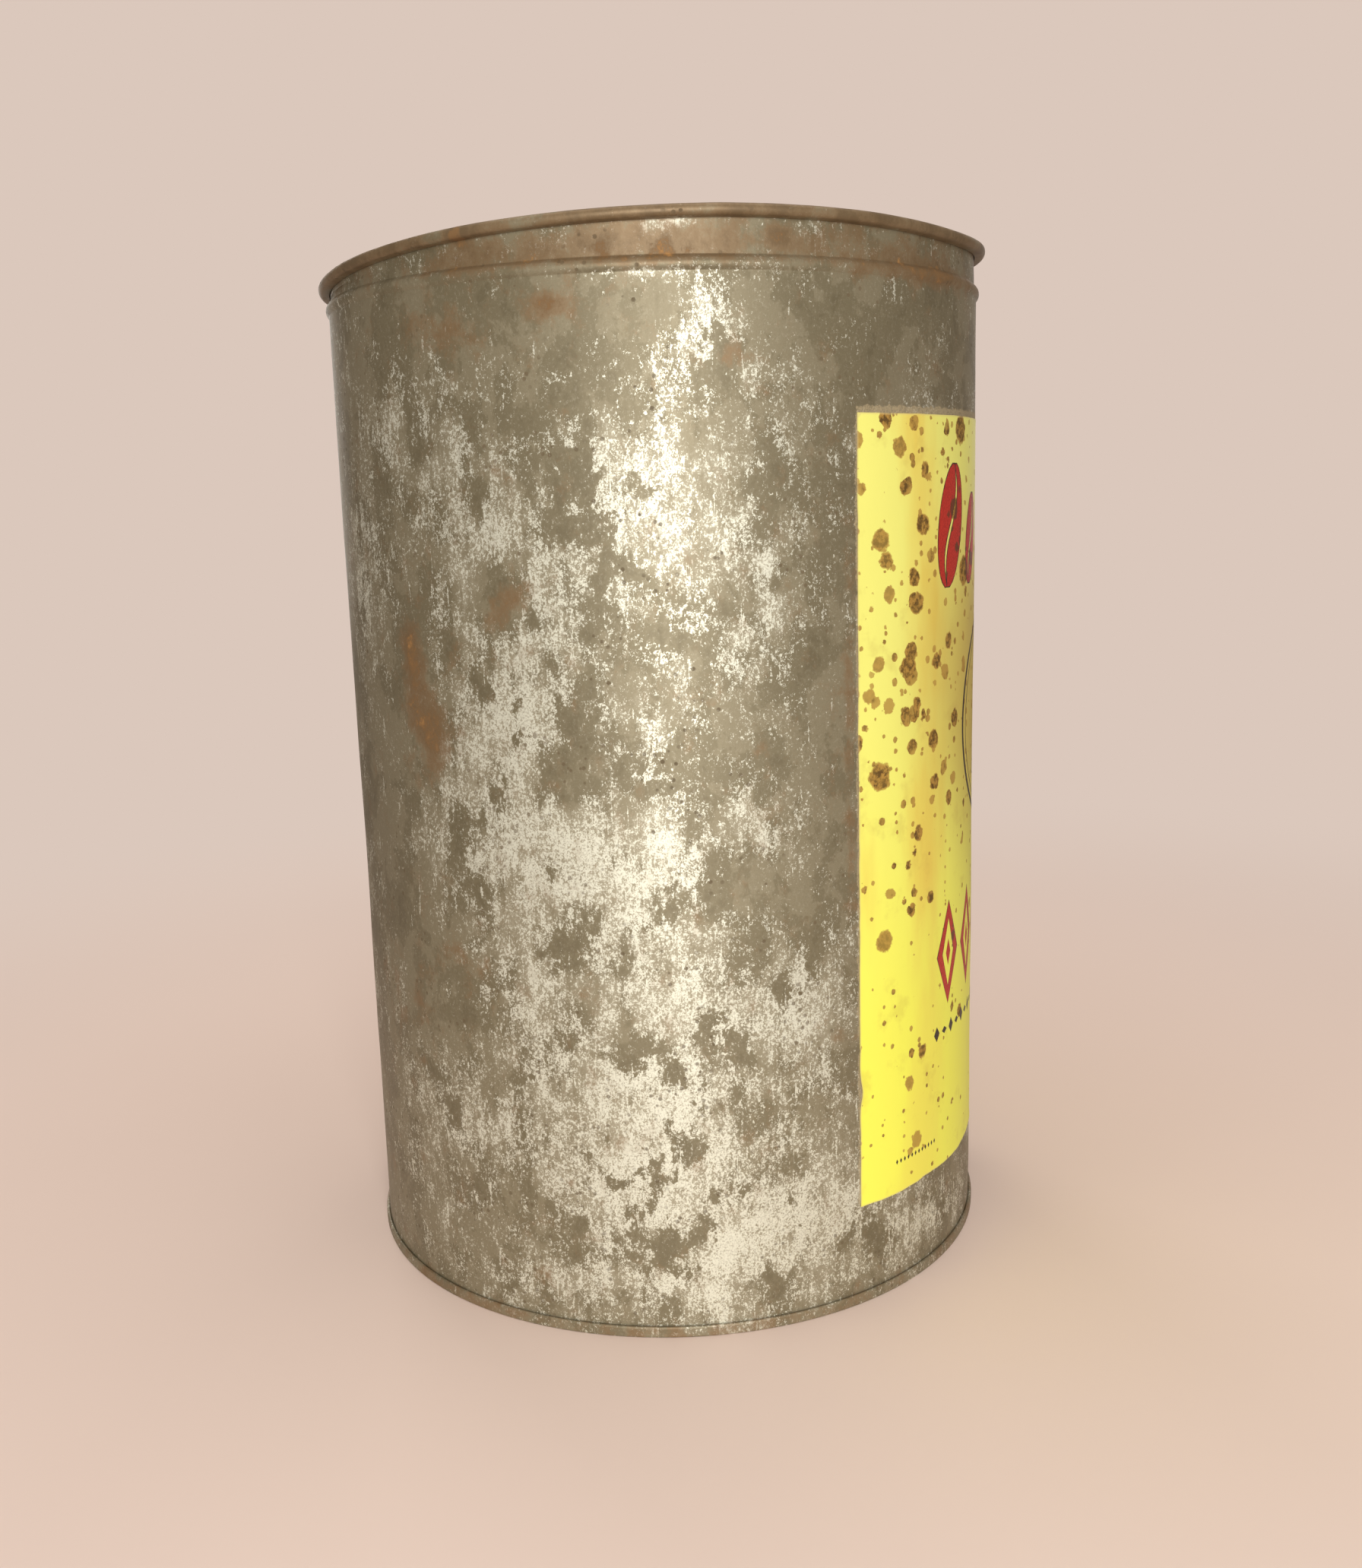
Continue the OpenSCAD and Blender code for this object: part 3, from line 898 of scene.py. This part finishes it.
def printed(name, shapes, material):
    """Flat shapes in (across, height) millimetres, printed on the label and bent round the tin."""
    bm = bmesh.new()
    for shape in shapes:
        corners = [bm.verts.new((x * MM, 0, z * MM)) for x, z in shape]
        bm.faces.new(corners)
    bmesh.ops.triangulate(bm, faces=bm.faces)
    cut_across(bm)
    for vertex in bm.verts:
        vertex.co = on_label(vertex.co.x, vertex.co.z, INK_LIFT)
    bmesh.ops.recalc_face_normals(bm, faces=bm.faces)
    for face in bm.faces:
        middle = face.calc_center_median()
        if face.normal.dot(Vector((middle.x, middle.y, 0))) < 0:
            face.normal_flip()
    piece = finished(name, bm)
    piece.data.materials.append(material)
    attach(piece, "tin")


def arch(x, z, half_w, half_h, start, end, count):
    """The points of an ellipse's line from one angle to another, in degrees."""
    angles = [math.radians(start + (end - start) * i / (count - 1)) for i in range(count)]
    return [(x + half_w * math.cos(a), z + half_h * math.sin(a)) for a in angles]


def ellipse(x, z, half_w, half_h, count):
    return arch(x, z, half_w, half_h, 0, 360, count + 1)[:-1]


def ribbon(points, width, closed=False):
    """A line of this width along points, as quads."""
    last = len(points) if closed else len(points) - 1
    sides = []
    for i, p in enumerate(points):
        a = Vector(points[i - 1] if i or closed else p)
        b = Vector(points[(i + 1) % len(points)] if i < len(points) - 1 or closed else p)
        along = (b - a).normalized()
        across = Vector((-along.y, along.x)) * width / 2
        sides.append((Vector(p) + across, Vector(p) - across))
    quads = []
    for i in range(last):
        j = (i + 1) % len(points)
        quads.append([tuple(v) for v in (sides[i][0], sides[i][1], sides[j][1], sides[j][0])])
    return quads


BEAN_LEAN = 0.14              # how far a bean leans, for each unit of height


def bean(x, z, half_w, half_h):
    """A leaning coffee bean: its two halves beside the curved cleft, and the line round each."""
    steps = [0.98 * (i / 12 - 1) for i in range(25)]
    shapes, lines = [], []
    for side in (-1, 1):
        rim, cleft = [], []
        for t in steps:
            middle = x + BEAN_LEAN * t * half_h
            gap = 0.3 * half_w * math.sin(t * math.pi) + side * 0.9 * (1 - t * t)
            rim.append((middle + side * half_w * math.sqrt(1 - t * t), z + t * half_h))
            cleft.append((middle + gap, z + t * half_h))
        shapes += [[rim[i], rim[i + 1], cleft[i + 1], cleft[i]] for i in range(len(steps) - 1)]
        lines += ribbon(rim + cleft[::-1], 0.45, True)
    return shapes, lines


def lozenge(x, z, half_w, half_h):
    """The four corners of a lozenge."""
    return [(x - half_w, z), (x, z - half_h), (x + half_w, z), (x, z + half_h)]


def framed_lozenge(x, z, half_w, half_h):
    """A lozenge drawn as a thick line with a small one inside."""
    outer, inner = lozenge(x, z, half_w, half_h), lozenge(x, z, 0.55 * half_w, 0.66 * half_h)
    shapes = [[outer[i], outer[(i + 1) % 4], inner[(i + 1) % 4], inner[i]] for i in range(4)]
    lines = ribbon(outer, 0.45, True) + ribbon(inner, 0.3, True)
    return shapes + [lozenge(x, z, 0.22 * half_w, 0.26 * half_h)], lines


def row(count, pitch):
    """The places of count things in a row, this far apart, about the middle."""
    return [pitch * (i - (count - 1) / 2) for i in range(count)]


def cup(x, z):
    """A cup on its saucer, drawn with thin lines, with steam over it."""
    lines = ribbon(ellipse(x, z + 6, 12, 2.6, 40), 0.5, True)
    lines += ribbon(arch(x, z + 6, 12, 15, 180, 360, 21), 0.55)
    lines += ribbon(arch(x + 13.6, z + 0.5, 4.2, 4.2, 110, -110, 24), 0.55)
    lines += ribbon(ellipse(x, z - 11, 19, 3.2, 48), 0.5, True)
    for k in (-5, 0, 5):
        steam = [(x + k + 1.4 * math.sin(t / 12 * math.tau), z + 10 + t) for t in range(13)]
        lines += ribbon(steam, 0.45)
    return lines


INK_RED, INK_DEEP_RED = colour(186, 46, 32), colour(152, 34, 25)
INK_DARK, INK_BLACK = colour(58, 44, 32), colour(34, 26, 20)
# heights of the ornament's parts, in mm
BEAN_FOOT, OVAL_Z, CUP_Z, LOZENGE_Z, DOT_Z, SMALL_Z = 198, 158, 153, 93, 70, 38


def label_art():
    """A plain made-up ornament: a row of coffee beans, a cup in an oval, and a row of lozenges."""
    red, dark = [], []
    for i, x in enumerate(row(6, 19.0)):
        half_h = 17 if i in (0, 5) else 13
        bean_red, bean_dark = bean(x, BEAN_FOOT + half_h, 0.47 * half_h, half_h)
        lozenge_red, lozenge_dark = framed_lozenge(x, LOZENGE_Z, 7.6, 15.5)
        red += bean_red + lozenge_red
        dark += bean_dark + lozenge_dark
    for half_w, half_h, line in ((36, 31, 1.6), (32.6, 27.8, 0.5)):
        dark += ribbon(ellipse(0, OVAL_Z, half_w, half_h, 96), line, True)
    dark += cup(0, CUP_Z)
    for i, x in enumerate(row(23, 5.0)):
        dark.append(lozenge(x, DOT_Z, 1.7, 1.1 if i % 2 else 2.3))
    for x in row(12, 1.7):
        dark += [lozenge(x + side, SMALL_Z, 0.45, 0.8) for side in (-66, 66)]
    printed("label_ink_red", red, ink("ink_red", INK_RED, INK_DEEP_RED))
    printed("label_ink_dark", dark, ink("ink_dark", INK_DARK, INK_BLACK))


# ---------------------------------------------------------------- CAD nodes that stay
def keep(node, material):
    """Gives a CAD node its material."""
    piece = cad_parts[node]
    for index in range(len(piece.material_slots)):
        piece.material_slots[index].material = material


def carried_over():
    """The CAD nodes that keep their shape, and the compound under the rolled rim."""
    keep("bottom_end", tinplate("tinplate_base", shine=0.05, rust=0.24, marks=False))
    keep("lever_lid", tinplate("tinplate_lid", shine=0.12, rust=0.05, marks=False))
    keep("side_seam_solder", solder())
    sealing = compound()
    keep("bottom_seam_compound", sealing)
    seam_sealing(sealing)


# ---------------------------------------------------------------- studio
FLOOR_R = 3.0                 # metres
FILL = 0.36                   # how strongly the backdrop lights the tin, against how it looks
SKY = colour(219, 200, 188)
FLOOR_LIGHT, FLOOR_DARK = colour(237, 218, 207), colour(229, 210, 199)
BLACK = (0, 0, 0, 1)
DAYLIGHT, WARM_LIGHT = (1.0, 0.985, 0.95), (1.0, 0.95, 0.9)
AIM = Vector((0, 0, 0.14))    # the point that every lamp is turned to


def backdrop():
    """A pale floor that fades into the backdrop's colour away from the tin."""
    g = Graph("floor")
    here = g.place()
    tone = g.noise(here, 0.3, 3, 0.5)
    look = g.mix(tone, FLOOR_LIGHT, FLOOR_DARK)
    far = g.step(g.add("ShaderNodeVectorMath", {0: here}, "Value", operation="LENGTH"), 0.15, 0.68)
    direct = g.add("ShaderNodeLightPath", {}, "Is Camera Ray")
    glow = g.times(far, g.blend(direct, FILL, 1.0))
    g.finish(Base_Color=g.mix(far, look, BLACK), Roughness=0.85, Emission_Color=SKY,
             Emission_Strength=glow, Specular_IOR_Level=0.0)
    bm = bmesh.new()
    bmesh.ops.create_circle(bm, cap_ends=True, radius=FLOOR_R, segments=96)
    floor = finished("floor", bm)
    floor.data.materials.append(g.material)


def light(name, at, size, watts, tint):
    """A soft box."""
    lamp = bpy.data.lights.new(name, "AREA")
    lamp.shape = "RECTANGLE"
    lamp.size, lamp.size_y = size
    lamp.energy = watts
    lamp.color = tint
    holder = bpy.data.objects.new(name, lamp)
    holder.location = at
    holder.rotation_euler = (AIM - Vector(at)).to_track_quat("-Z", "Y").to_euler()
    bpy.context.scene.collection.objects.link(holder)


def sky():
    """The backdrop's colour all round, which lights the tin less than it shows."""
    world = bpy.data.worlds.new("studio")
    world.use_nodes = True
    nodes, links = world.node_tree.nodes, world.node_tree.links
    seen_by_camera = nodes.new("ShaderNodeLightPath").outputs["Is Camera Ray"]
    strength = nodes.new("ShaderNodeMapRange")
    strength.inputs["To Min"].default_value = FILL
    strength.inputs["To Max"].default_value = 1.0
    links.new(seen_by_camera, strength.inputs["Value"])
    links.new(strength.outputs[0], nodes["Background"].inputs["Strength"])
    nodes["Background"].inputs["Color"].default_value = SKY
    bpy.context.scene.world = world


def studio():
    """A tall soft box at the camera, one overhead, and two behind."""
    backdrop()
    sky()
    light("key", place(PHOTO_TURN + 3, 1.05, 0.25), (0.4, 0.64), 12.2, DAYLIGHT)
    light("overhead", (0, 0, 1.3), (1.2, 1.2), 8, WARM_LIGHT)
    light("behind_left", place(PHOTO_TURN - 155, 1.3, 0.5), (0.5, 0.8), 4.5, WARM_LIGHT)
    light("behind_right", place(PHOTO_TURN + 155, 1.3, 0.5), (0.5, 0.8), 1.4, WARM_LIGHT)
    bpy.context.scene.view_settings.view_transform = "Standard"


def camera():
    """The photograph's view: its distance, height and angles, in radii of the tin."""
    distance, height = 4.9246 * WALL_R, 2.3691 * WALL_R
    yaw, pitch, roll = 0.0093, 0.1902, -0.028
    focal_px, long_side_px, sensor = 1970.0, 2063.0, 36.0
    ahead = -place(PHOTO_TURN, 1.0, 0.0)
    side = Vector((ahead.y, -ahead.x, 0))
    look = (ahead * math.cos(yaw) + side * math.sin(yaw)) * math.cos(pitch)
    look.z = -math.sin(pitch)
    level = side * math.cos(yaw) - ahead * math.sin(yaw)
    up = level.cross(look)
    right = level * math.cos(roll) + up * math.sin(roll)
    up = up * math.cos(roll) - level * math.sin(roll)
    lens = bpy.data.cameras.new("camera")
    lens.sensor_width = sensor
    lens.lens = focal_px / long_side_px * sensor
    lens.clip_start = 0.01
    holder = bpy.data.objects.new("camera", lens)
    turned = Matrix((right, up, -look)).transposed().to_4x4()
    holder.matrix_world = Matrix.Translation(place(PHOTO_TURN, distance, height)) @ turned
    bpy.context.scene.collection.objects.link(holder)
    bpy.context.scene.camera = holder


camera()
studio()
tin_body()
rolled_rim()
paper_label()
label_art()
carried_over()
